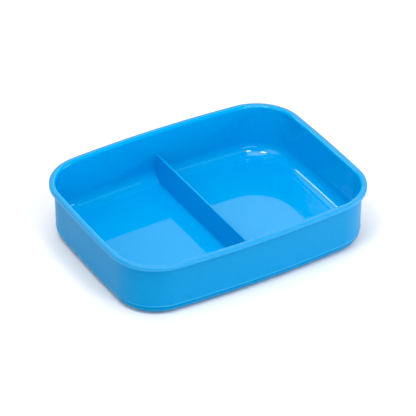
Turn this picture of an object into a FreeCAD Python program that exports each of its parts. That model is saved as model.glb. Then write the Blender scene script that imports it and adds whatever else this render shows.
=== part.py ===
import FreeCAD, Part
import math
import os

# Open lunch box: a moulded tray with bowed sides and a flat rim, and a divider plate that lifts out.
# Millimetres, +Z up, origin at the middle of the underside, +X along the longer side.

# Tray, outside of the rim
rim_length = 180.0
rim_width = 139.4
tray_height = 38.2
rim_corner_radius = 31.7
long_side_radius = 730.0
short_side_radius = 1170.0

# Rim: a flat flange with a turned-down lip
rim_overhang = 3.1
rim_thickness = 1.6
rim_outer_radius = 0.8
rim_inner_radius = 1.8
lip_drop = 1.1
lip_thickness = 1.3
lip_foot_radius = 0.3

# Walls and floor
wall_thickness = 1.2
wall_draft = 0.5
floor_thickness = 2.4
floor_fillet = 8.8
bottom_radius = 6.4

# Thin moulded line round the wall, just above the bottom radius
line_width = 1.0
line_height = 0.2

# Divider plate across the middle, tapered upwards, with a flared foot
divider_height = 19.4
divider_top_thickness = 1.8
divider_foot_thickness = 3.0
divider_flare = 1.2
divider_edge_radius = 0.5
divider_end_clearance = 0.2
foot_edge = 0.2

# Sizes that follow from those above
draft_slope = math.tan(math.radians(wall_draft))
rim_underside = tray_height - rim_thickness
lip_foot = rim_underside - lip_drop
line_foot = bottom_radius
line_crest = line_foot + line_width / 2
line_top = line_foot + line_width
line_crest_radius = line_width / 4
divider_top = floor_thickness + divider_height


def outer_inset(z):
    """How far the outside of the wall lies in from the rim's edge, at height z."""
    return rim_overhang + (tray_height - z) * draft_slope


def inner_inset(z):
    """How far the inside of the wall lies in from the rim's edge, at height z."""
    return outer_inset(z) + wall_thickness


def floor_join():
    """Inset at which the section ends: halfway from the floor fillet to the centres of the corners."""
    return (inner_inset(floor_thickness) + floor_fillet + rim_corner_radius) / 2


def rounded_wire(corners):
    """Closed wire through (point, radius) corners, each one rounded by an arc where its radius is not 0."""
    spans = []
    count = len(corners)
    for i, (point, radius) in enumerate(corners):
        if radius == 0:
            spans.append((point, point, point))
            continue
        back = (corners[i - 1][0] - point).normalize()
        ahead = (corners[(i + 1) % count][0] - point).normalize()
        half_angle = back.getAngle(ahead) / 2
        reach = radius / math.tan(half_angle)
        to_middle = (back + ahead).normalize()
        middle = point + to_middle * (radius / math.sin(half_angle) - radius)
        spans.append((point + back * reach, middle, point + ahead * reach))
    edges = []
    for i, (start, middle, end) in enumerate(spans):
        if start != end:
            edges.append(Part.Arc(start, middle, end).toShape())
        edges.append(Part.LineSegment(end, spans[(i + 1) % count][0]).toShape())
    return Part.Wire(edges)


def rim_arcs():
    """Half of the rim's outline as arcs (centre, radius, start, end): end, corner, long side, corner.

    The four sides are bowed, each an arc of a large radius that runs smoothly into the corner arcs.
    """
    end_centre = FreeCAD.Vector(rim_length / 2 - short_side_radius, 0, 0)
    side_centre = FreeCAD.Vector(0, rim_width / 2 - long_side_radius, 0)
    end_reach = short_side_radius - rim_corner_radius
    side_reach = long_side_radius - rim_corner_radius
    apart = end_centre - side_centre
    along = (side_reach ** 2 - end_reach ** 2 + apart.Length ** 2) / (2 * apart.Length)
    across = math.sqrt(side_reach ** 2 - along ** 2)
    way = apart.normalize()
    corner = side_centre + way * along + FreeCAD.Vector(way.y, -way.x, 0) * across
    far_corner = FreeCAD.Vector(-corner.x, corner.y, 0)
    end_turn = math.atan2(corner.y, corner.x - end_centre.x)
    side_turn = math.atan2(corner.y - side_centre.y, corner.x)
    return [
        (end_centre, short_side_radius, -end_turn, end_turn),
        (corner, rim_corner_radius, end_turn, side_turn),
        (side_centre, long_side_radius, side_turn, math.pi - side_turn),
        (far_corner, rim_corner_radius, math.pi - side_turn, math.pi - end_turn),
    ]


def outline_arcs():
    """All the arcs of the rim's outline: its half, and the same turned by 180 degrees."""
    half = rim_arcs()
    return half + [(-centre, radius, start + math.pi, end + math.pi) for centre, radius, start, end in half]


def tray_section(radius):
    """Section of the tray in the XZ plane, with the rim's edge at x = radius, from the floor outwards."""

    def corner(inset, z, round_by=0.0):
        return FreeCAD.Vector(radius - inset, 0, z), round_by

    corners = [
        corner(floor_join(), 0),
        corner(outer_inset(0), 0, bottom_radius),
        corner(outer_inset(line_foot), line_foot),
        corner(outer_inset(line_crest) - line_height, line_crest, line_crest_radius),
        corner(outer_inset(line_top), line_top),
        corner(outer_inset(rim_underside), rim_underside),
        corner(lip_thickness, rim_underside),
        corner(lip_thickness, lip_foot, lip_foot_radius),
        corner(0, lip_foot, lip_foot_radius),
        corner(0, tray_height, rim_outer_radius),
        corner(inner_inset(tray_height), tray_height, rim_inner_radius),
        corner(inner_inset(floor_thickness), floor_thickness, floor_fillet),
        corner(floor_join(), floor_thickness),
    ]
    return Part.Face(rounded_wire(corners))


def make_floor():
    """Middle of the floor, out to where the section starts."""
    edges = []
    for centre, radius, start, end in outline_arcs():
        reach = radius - floor_join()
        points = []
        for angle in (start, (start + end) / 2, end):
            points.append(centre + FreeCAD.Vector(math.cos(angle), math.sin(angle), 0) * reach)
        edges.append(Part.Arc(*points).toShape())
    return Part.Face(Part.Wire(edges)).extrude(FreeCAD.Vector(0, 0, floor_thickness))


def make_tray():
    """The section turned along each arc of the rim's outline, joined to the middle of the floor."""
    up = FreeCAD.Vector(0, 0, 1)
    pieces = []
    for centre, radius, start, end in outline_arcs():
        section = tray_section(radius)
        section.rotate(FreeCAD.Vector(), up, math.degrees(start))
        section.translate(centre)
        pieces.append(section.revolve(centre, up, math.degrees(end - start)))
    return make_floor().multiFuse(pieces).removeSplitter().Solids[0]


def make_divider():
    """Tapered plate with a flared foot, cut at its ends to follow the long walls and the floor fillet."""
    widest = divider_foot_thickness + 2 * divider_flare

    def end_corner(side, z, radius=0.0):
        half_span = rim_width / 2 - inner_inset(z) - divider_end_clearance
        return FreeCAD.Vector(-widest, side * half_span, z), radius

    outline = rounded_wire([
        end_corner(-1, divider_top),
        end_corner(-1, floor_thickness, floor_fillet),
        end_corner(1, floor_thickness, floor_fillet),
        end_corner(1, divider_top),
    ])
    between_walls = Part.Face(outline).extrude(FreeCAD.Vector(2 * widest, 0, 0))

    def side_corner(x, z, radius=0.0):
        return FreeCAD.Vector(x, -rim_width / 2, z), radius

    half_top = divider_top_thickness / 2
    half_foot = divider_foot_thickness / 2
    profile = rounded_wire([
        side_corner(-half_top, divider_top, divider_edge_radius),
        side_corner(-half_foot, floor_thickness + foot_edge, divider_flare),
        side_corner(-widest / 2, floor_thickness + foot_edge),
        side_corner(-widest / 2, floor_thickness),
        side_corner(widest / 2, floor_thickness),
        side_corner(widest / 2, floor_thickness + foot_edge),
        side_corner(half_foot, floor_thickness + foot_edge, divider_flare),
        side_corner(half_top, divider_top, divider_edge_radius),
    ])
    plate = Part.Face(profile).extrude(FreeCAD.Vector(0, rim_width, 0))
    return plate.common(between_walls).Solids[0]


os.makedirs("parts", exist_ok=True)
nodes = {"tray": make_tray(), "divider": make_divider()}
for name, shape in nodes.items():
    shape.exportStep(f"parts/{name}.step")
    print(name, shape.ShapeType, len(shape.Solids), shape.isValid(), round(shape.Volume, 1))
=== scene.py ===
import math

import bmesh
import bpy
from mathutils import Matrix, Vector


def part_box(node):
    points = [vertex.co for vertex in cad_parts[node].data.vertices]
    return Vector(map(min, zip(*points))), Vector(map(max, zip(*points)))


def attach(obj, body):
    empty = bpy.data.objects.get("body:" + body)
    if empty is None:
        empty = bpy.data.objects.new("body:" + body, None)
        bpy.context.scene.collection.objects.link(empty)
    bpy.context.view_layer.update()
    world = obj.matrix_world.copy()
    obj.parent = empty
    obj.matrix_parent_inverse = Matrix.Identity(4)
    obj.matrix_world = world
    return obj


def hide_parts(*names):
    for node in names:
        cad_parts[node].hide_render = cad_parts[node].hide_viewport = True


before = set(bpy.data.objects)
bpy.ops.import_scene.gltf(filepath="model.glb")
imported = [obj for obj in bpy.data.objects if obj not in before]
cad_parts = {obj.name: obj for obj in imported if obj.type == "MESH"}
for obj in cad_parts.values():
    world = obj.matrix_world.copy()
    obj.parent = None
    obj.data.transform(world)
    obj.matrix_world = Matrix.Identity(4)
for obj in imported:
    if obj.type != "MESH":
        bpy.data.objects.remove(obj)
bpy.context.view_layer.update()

# Metres, in the frame's own axes: origin under the middle of the tray, +X along the longer side, +Z up.
# Overall sizes come from the frame. The rest are the sizes that the solids are drawn with.
tray_low, tray_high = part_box("tray")
divider_low, divider_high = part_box("divider")
rim_length, rim_width, tray_height = tray_high - tray_low
rim_corner_radius = 0.0317
long_side_radius = 0.730
short_side_radius = 1.170
rim_overhang = 0.0031
rim_thickness = 0.0016
rim_outer_radius = 0.0008
rim_inner_radius = 0.0018
lip_drop = 0.0011
lip_thickness = 0.0013
lip_foot_radius = 0.0003
wall_thickness = 0.0012
wall_draft = math.radians(0.5)
floor_level = divider_low.z
floor_fillet = 0.0088
bottom_radius = 0.0064
line_width = 0.001
line_height = 0.0002
divider_top_thickness = 0.0018
divider_foot_thickness = 0.003
divider_flare = 0.0012
divider_edge_radius = 0.0005
divider_end_clearance = 0.0002

# Fineness of the meshes
corner_steps = 44
side_steps = 28
large_arc_steps = 14
small_arc_steps = 6
large_arc_radius = 0.004
flat_margin = 0.00008
shortest_straight = 3 * flat_margin
sharp_angle = math.radians(40)

# Camera, at the photograph's angle
image_size = 416
sensor_width = 36.0
focal_pixels = 2560.0
view_azimuth = math.radians(-30.586)
view_elevation = math.radians(35.43)
camera_distance = 1.622
camera_reach = 100
aim_point = Vector((0, 0, 0.0181))

# Colours, linear. The camera cuts off red below its black level, as this blue lies beyond its range.
inside_blue = (0.0, 0.35, 0.752)
# Painted light: the rim, its lip and the moulded line are lighter than the outer wall, standing in for the
# light that they catch.
rim_blue_painted_light = (0.006, 0.288, 0.64)
# Painted shade: the outer wall's colour is darker than the inside's, standing in for less light reaching the
# outer walls from the floor.
outside_blue_painted_shade = (0.011, 0.246, 0.565)
# Painted shade: the base is darker still, standing in for the shade where the tray meets the floor.
base_blue_painted_shade = (0.0, 0.215, 0.5)
# Painted shade: the divider is darker than the inside, standing in for the shade on its faces.
divider_blue_painted_shade = (0.0, 0.295, 0.68)
red_black_level = 0.03

# Plastic, all finishes alike: the mottle changes the shade and the roughness by a share of them
refractive_index = 1.49
mottle_size = 0.0025
mottle_detail = 3
mottle_low = 0.3
mottle_high = 0.7
shade_change = 0.03
roughness_change = 0.1
wave_size = 0.02
wave_detail = 0
wave_depth = 0.00002
fine_grain = 0.0009
soft_grain = 0.002
grain_detail = 2

# Floor that the tray stands on
floor_half_width = 3.0
floor_white = (0.95, 0.95, 0.95)
floor_roughness = 0.9
floor_specular = 0.1

# Far lights: elevation and azimuth in degrees (azimuth from +X towards +Y), focus, strength.
# A light without a focus is the same all round.
no_focus = 0
broad_focus = 20
medium_focus = 36
narrow_focus = 600
far_lights = [
    (90, 0, no_focus, 0.2),
    (38, 44, medium_focus, 2.3),
    (34, 100, broad_focus, 0.9),
    (42, 188, broad_focus, 2.4),
    (8, 60, broad_focus, 1.4),
    (37, 121, narrow_focus, 11.0),
]

# Softboxes: elevation and azimuth as above, width and height in metres, strength
softbox_distance = 1.0
softboxes = [
    (79, 242, 0.6, 0.55, 2.1),
    (84, 30, 0.35, 0.35, 2.2),
    (60, 90, 0.5, 0.5, 1.2),
    (44, 300, 0.5, 0.4, 0.8),
    (14, 262, 0.85, 0.4, 2.75),
    (10, 328, 0.5, 0.34, 6.6),
    (55, 274, 0.17, 0.17, 20.0),
    (67, 208, 0.2, 0.15, 20.0),
]


def outer_inset(z):
    """How far the outside of the wall lies in from the rim's edge, at height z."""
    return rim_overhang + (tray_height - z) * math.tan(wall_draft)


def inner_inset(z):
    """How far the inside of the wall lies in from the rim's edge, at height z."""
    return outer_inset(z) + wall_thickness


def rim_arcs():
    """Half of the rim's outline as arcs (centre, radius, start, end): end, corner, long side, corner.

    The four sides are bowed, each an arc of a large radius that runs smoothly into the corner arcs.
    """
    end_centre = Vector((rim_length / 2 - short_side_radius, 0))
    side_centre = Vector((0, rim_width / 2 - long_side_radius))
    end_reach = short_side_radius - rim_corner_radius
    side_reach = long_side_radius - rim_corner_radius
    apart = end_centre - side_centre
    along = (side_reach ** 2 - end_reach ** 2 + apart.length_squared) / (2 * apart.length)
    across = math.sqrt(side_reach ** 2 - along ** 2)
    way = apart.normalized()
    corner = side_centre + way * along + Vector((way.y, -way.x)) * across
    far_corner = Vector((-corner.x, corner.y))
    end_turn = math.atan2(corner.y, corner.x - end_centre.x)
    side_turn = math.atan2(corner.y - side_centre.y, corner.x)
    return [
        (end_centre, short_side_radius, -end_turn, end_turn),
        (corner, rim_corner_radius, end_turn, side_turn),
        (side_centre, long_side_radius, side_turn, math.pi - side_turn),
        (far_corner, rim_corner_radius, math.pi - side_turn, math.pi - end_turn),
    ]


def ring(inset, z):
    """Points round the rim's outline, drawn in by inset, at height z."""
    points = []
    for side, half_turn in ((1, 0), (-1, math.pi)):
        for centre, radius, start, end in rim_arcs():
            steps = corner_steps if radius == rim_corner_radius else side_steps
            for k in range(steps):
                angle = half_turn + start + (end - start) * k / steps
                x = side * centre.x + (radius - inset) * math.cos(angle)
                y = side * centre.y + (radius - inset) * math.sin(angle)
                points.append(Vector((x, y, z)))
    return points


def rounded(corners):
    """Points of an open outline through (x, y, radius, tag) corners, as (point, tag) pairs.

    Each corner with a radius becomes an arc. Each long straight has a point close to both of its ends,
    which keeps its smooth shading flat. A point's tag is that of the corner that it belongs to or follows.
    """
    arcs = []
    for i, (x, y, radius, tag) in enumerate(corners):
        point = Vector((x, y))
        if radius == 0:
            arcs.append([point])
            continue
        back = (Vector(corners[i - 1][:2]) - point).normalized()
        ahead = (Vector(corners[i + 1][:2]) - point).normalized()
        half_angle = back.angle(ahead) / 2
        reach = radius / math.tan(half_angle)
        centre = point + (back + ahead).normalized() * (radius / math.sin(half_angle))
        start = point + back * reach - centre
        end = point + ahead * reach - centre
        steps = large_arc_steps if radius > large_arc_radius else small_arc_steps
        arcs.append([centre + radius * start.slerp(end, k / steps) for k in range(steps + 1)])
    points = []
    for arc, following, (*_, tag) in zip(arcs, arcs[1:] + [None], corners):
        points += [(point, tag) for point in arc]
        if following is None:
            break
        run = following[0] - arc[-1]
        if run.length > shortest_straight:
            margin = run.normalized() * flat_margin
            points += [(arc[-1] + margin, tag), (following[0] - margin, tag)]
    return points


def loft(name, loops, finishes):
    """Closed mesh through loops of points, with a flat face over the first and the last loop.

    finishes has a material for the faces that follow each loop, the closing face among them.
    """
    mesh = bpy.data.meshes.new(name)
    materials = list(dict.fromkeys(finishes))
    for material in materials:
        mesh.materials.append(material)
    build = bmesh.new()
    rows = [[build.verts.new(point) for point in loop] for loop in loops]
    first = build.faces.new(rows[0][::-1])
    first.material_index = materials.index(finishes[0])
    for row, above, finish in zip(rows, rows[1:], finishes):
        for k in range(len(row)):
            after = (k + 1) % len(row)
            face = build.faces.new((row[k], row[after], above[after], above[k]))
            face.material_index = materials.index(finish)
    last = build.faces.new(rows[-1])
    last.material_index = materials.index(finishes[-1])
    bmesh.ops.recalc_face_normals(build, faces=build.faces)
    build.to_mesh(mesh)
    build.free()
    mesh.shade_smooth()
    mesh.set_sharp_from_angle(angle=sharp_angle)
    piece = bpy.data.objects.new(name, mesh)
    bpy.context.scene.collection.objects.link(piece)
    return piece


def make_tray(finish):
    """The tray: its section carried round the rim's outline, from under the floor to the top of the floor."""
    rim_underside = tray_height - rim_thickness
    lip_foot = rim_underside - lip_drop
    line_foot = bottom_radius
    line_crest = line_foot + line_width / 2
    line_top = line_foot + line_width
    line_crest_radius = line_width / 4
    floor_middle = (inner_inset(floor_level) + floor_fillet + rim_corner_radius) / 2
    section = rounded([
        (floor_middle, 0, 0, "base"),
        (outer_inset(0), 0, bottom_radius, "base"),
        (outer_inset(line_foot), line_foot, 0, "rim"),
        (outer_inset(line_crest) - line_height, line_crest, line_crest_radius, "rim"),
        (outer_inset(line_top), line_top, 0, "outside"),
        (outer_inset(rim_underside), rim_underside, 0, "rim"),
        (lip_thickness, rim_underside, 0, "rim"),
        (lip_thickness, lip_foot, lip_foot_radius, "rim"),
        (0, lip_foot, lip_foot_radius, "rim"),
        (0, tray_height, rim_outer_radius, "rim"),
        (inner_inset(tray_height), tray_height, rim_inner_radius, "inside"),
        (inner_inset(floor_level), floor_level, floor_fillet, "inside"),
        (floor_middle, floor_level, 0, "inside"),
    ])
    loops = [ring(point.x, point.y) for point, tag in section]
    return loft("tray_shell", loops, [finish[tag] for point, tag in section])


def rounding(depth, radius):
    """How far a rounded edge falls back, at this depth from the face that it ends on."""
    left = max(radius - depth, 0)
    return radius - math.sqrt(radius ** 2 - left ** 2)


def make_divider(finish):
    """The divider: a tapered plate, flared where its foot and its ends meet the tray."""
    top = divider_high.z
    taper = (divider_foot_thickness - divider_top_thickness) / 2 / (top - floor_level)
    quarter = [k / small_arc_steps * math.pi / 2 for k in range(small_arc_steps + 1)]

    def half_span(z):
        return rim_width / 2 - inner_inset(z) - divider_end_clearance

    def edge_distance(depth, lift):
        """How far a point lies in from the plate's end and foot, which meet in an arc."""
        across = max(floor_fillet - depth, 0)
        down = max(floor_fillet - lift, 0)
        return max(floor_fillet - math.hypot(across, down), 0)

    def half_thickness(depth, z):
        lift = z - floor_level
        flare = rounding(edge_distance(depth, lift), divider_flare)
        return divider_foot_thickness / 2 - lift * taper + flare - rounding(top - z, divider_edge_radius)

    def levels(depth):
        across = max(floor_fillet - depth, 0)
        foot = rounding(depth, floor_fillet)
        flare_top = floor_fillet - math.sqrt(max((floor_fillet - divider_flare) ** 2 - across ** 2, 0))
        flare_height = max(flare_top - foot, divider_flare)
        low = [floor_level + foot + flare_height * (1 - math.cos(angle)) for angle in quarter]
        return low + [top - divider_edge_radius * (1 - math.sin(angle)) for angle in quarter]

    def loop(side, depth):
        points = []
        for z in levels(depth):
            points.append(Vector((half_thickness(depth, z), side * (half_span(z) - depth), z)))
        return points + [Vector((-point.x, point.y, point.z)) for point in reversed(points)]

    depths = [divider_flare * (1 - math.cos(angle)) for angle in quarter]
    for k in range(1, large_arc_steps + 1):
        depths.append(divider_flare + (floor_fillet - divider_flare) * k / large_arc_steps)
    depths.append(floor_fillet + flat_margin)
    loops = [loop(-1, depth) for depth in depths] + [loop(1, depth) for depth in reversed(depths)]
    return loft("divider_plate", loops, [finish] * len(loops))


def plastic(name, color, roughness, specular, grain_depth, grain_size=soft_grain):
    """Moulded plastic: a shade and a roughness that vary a little, a surface grain and a slow waviness."""
    material = bpy.data.materials.new(name)
    material.use_nodes = True
    nodes = material.node_tree.nodes
    links = material.node_tree.links
    shader = nodes["Principled BSDF"]
    shader.inputs["IOR"].default_value = refractive_index
    shader.inputs["Specular IOR Level"].default_value = specular
    place = nodes.new("ShaderNodeTexCoord")

    def noise(size, detail):
        texture = nodes.new("ShaderNodeTexNoise")
        texture.inputs["Scale"].default_value = 1 / size
        texture.inputs["Detail"].default_value = detail
        links.new(place.outputs["Object"], texture.inputs["Vector"])
        return texture.outputs["Fac"]

    def vary(source, middle, change):
        band = nodes.new("ShaderNodeMapRange")
        band.inputs["From Min"].default_value = mottle_low
        band.inputs["From Max"].default_value = mottle_high
        band.inputs["To Min"].default_value = middle * (1 - change)
        band.inputs["To Max"].default_value = middle * (1 + change)
        links.new(source, band.inputs["Value"])
        return band.outputs["Result"]

    def bump(height, depth, below=None):
        node = nodes.new("ShaderNodeBump")
        node.inputs["Distance"].default_value = depth
        links.new(height, node.inputs["Height"])
        if below:
            links.new(below, node.inputs["Normal"])
        return node.outputs["Normal"]

    mottle = noise(mottle_size, mottle_detail)
    shade = nodes.new("ShaderNodeHueSaturation")
    shade.inputs["Color"].default_value = (*color, 1)
    links.new(vary(mottle, 1, shade_change), shade.inputs["Value"])
    links.new(shade.outputs["Color"], shader.inputs["Base Color"])
    links.new(vary(mottle, roughness, roughness_change), shader.inputs["Roughness"])
    wave = bump(noise(wave_size, wave_detail), wave_depth)
    grain = bump(noise(grain_size, grain_detail), grain_depth, wave)
    links.new(grain, shader.inputs["Normal"])
    return material


def make_floor():
    """Plain pale floor that the tray stands on."""
    half = floor_half_width
    mesh = bpy.data.meshes.new("floor")
    corners = [(-half, -half, 0), (half, -half, 0), (half, half, 0), (-half, half, 0)]
    mesh.from_pydata(corners, [], [(0, 1, 2, 3)])
    floor = bpy.data.objects.new("floor", mesh)
    bpy.context.scene.collection.objects.link(floor)
    material = bpy.data.materials.new("floor_white")
    material.use_nodes = True
    shader = material.node_tree.nodes["Principled BSDF"]
    shader.inputs["Base Color"].default_value = (*floor_white, 1)
    shader.inputs["Roughness"].default_value = floor_roughness
    shader.inputs["Specular IOR Level"].default_value = floor_specular
    mesh.materials.append(material)


def direction(elevation, azimuth):
    """Unit vector towards this elevation and azimuth, in degrees."""
    level = math.cos(math.radians(elevation))
    turn = math.radians(azimuth)
    return Vector((level * math.cos(turn), level * math.sin(turn), math.sin(math.radians(elevation))))


def light_surround():
    """Surround of soft, far lights, each fading away from its own direction."""
    world = bpy.data.worlds.new("studio")
    world.use_nodes = True
    nodes = world.node_tree.nodes
    links = world.node_tree.links
    place = nodes.new("ShaderNodeTexCoord")

    def combine(operation, value, *constants):
        node = nodes.new("ShaderNodeMath")
        node.operation = operation
        links.new(value, node.inputs[0])
        for socket, constant in zip(node.inputs[1:], constants):
            socket.default_value = constant
        return node

    total = None
    for elevation, azimuth, focus, strength in far_lights:
        facing = nodes.new("ShaderNodeVectorMath")
        facing.operation = "DOT_PRODUCT"
        facing.inputs[1].default_value = direction(elevation, azimuth)
        links.new(place.outputs["Generated"], facing.inputs[0])
        lit = combine("MAXIMUM", facing.outputs["Value"], 0)
        falloff = combine("POWER", lit.outputs["Value"], focus)
        add = combine("MULTIPLY_ADD", falloff.outputs["Value"], strength, 0)
        if total:
            links.new(total, add.inputs[2])
        total = add.outputs["Value"]
    background = nodes["Background"]
    background.inputs["Color"].default_value = (1, 1, 1, 1)
    links.new(total, background.inputs["Strength"])
    bpy.context.scene.world = world


def place_softboxes():
    """Softboxes near the tray, each turned towards it, with a power that grows with its area."""
    for elevation, azimuth, width, height, strength in softboxes:
        toward = direction(elevation, azimuth)
        light = bpy.data.lights.new("softbox", "AREA")
        light.shape = "RECTANGLE"
        light.size = width
        light.size_y = height
        light.energy = strength * math.pi * width * height
        lamp = bpy.data.objects.new("softbox", light)
        lamp.location = toward * softbox_distance
        lamp.rotation_euler = toward.to_track_quat("Z", "Y").to_euler()
        bpy.context.scene.collection.objects.link(lamp)


def aim_camera():
    """Camera on the side of the photograph, aimed a little above the floor."""
    camera = bpy.data.cameras.new("camera")
    camera.sensor_width = sensor_width
    camera.lens = focal_pixels / image_size * sensor_width
    camera.clip_end = camera_reach
    holder = bpy.data.objects.new("camera", camera)
    back = Vector((
        math.sin(view_azimuth) * math.cos(view_elevation),
        -math.cos(view_azimuth) * math.cos(view_elevation),
        math.sin(view_elevation),
    ))
    holder.location = back * camera_distance
    holder.rotation_euler = (aim_point - holder.location).to_track_quat("-Z", "Y").to_euler()
    bpy.context.scene.collection.objects.link(holder)
    bpy.context.scene.camera = holder


def set_colours():
    """Plain colours, with red cut off at the dark end."""
    view = bpy.context.scene.view_settings
    view.view_transform = "Standard"
    view.use_curve_mapping = True
    view.curve_mapping.black_level = (red_black_level, 0, 0)
    view.curve_mapping.update()


# The tray, with its four finishes
polished = plastic("polished_plastic", inside_blue, roughness=0.07, specular=0.5, grain_depth=0)
# The textured outside takes a colour darkened with painted shade.
textured = plastic(
    "textured_plastic", outside_blue_painted_shade, roughness=0.4, specular=0.24,
    grain_depth=0.000002, grain_size=fine_grain,
)
# The rim and the moulded line take a colour lightened with painted light.
satin = plastic("satin_plastic", rim_blue_painted_light, roughness=0.35, specular=0.55, grain_depth=0.000002)
# The base, from the underside up to the moulded line, is darkened with painted shade from the floor contact.
base_painted_shade = plastic("base_plastic_painted_shade", base_blue_painted_shade, roughness=0.3, specular=0.25, grain_depth=0.000002)
tray = make_tray({"base": base_painted_shade, "outside": textured, "rim": satin, "inside": polished})
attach(tray, "tray")
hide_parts("tray")

# The divider
# The divider's colour is darkened with painted shade.
matte = plastic("matte_plastic", divider_blue_painted_shade, roughness=0.4, specular=0.5, grain_depth=0.000001)
divider = make_divider(matte)
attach(divider, "divider")
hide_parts("divider")

# The studio
make_floor()
light_surround()
place_softboxes()
aim_camera()
set_colours()
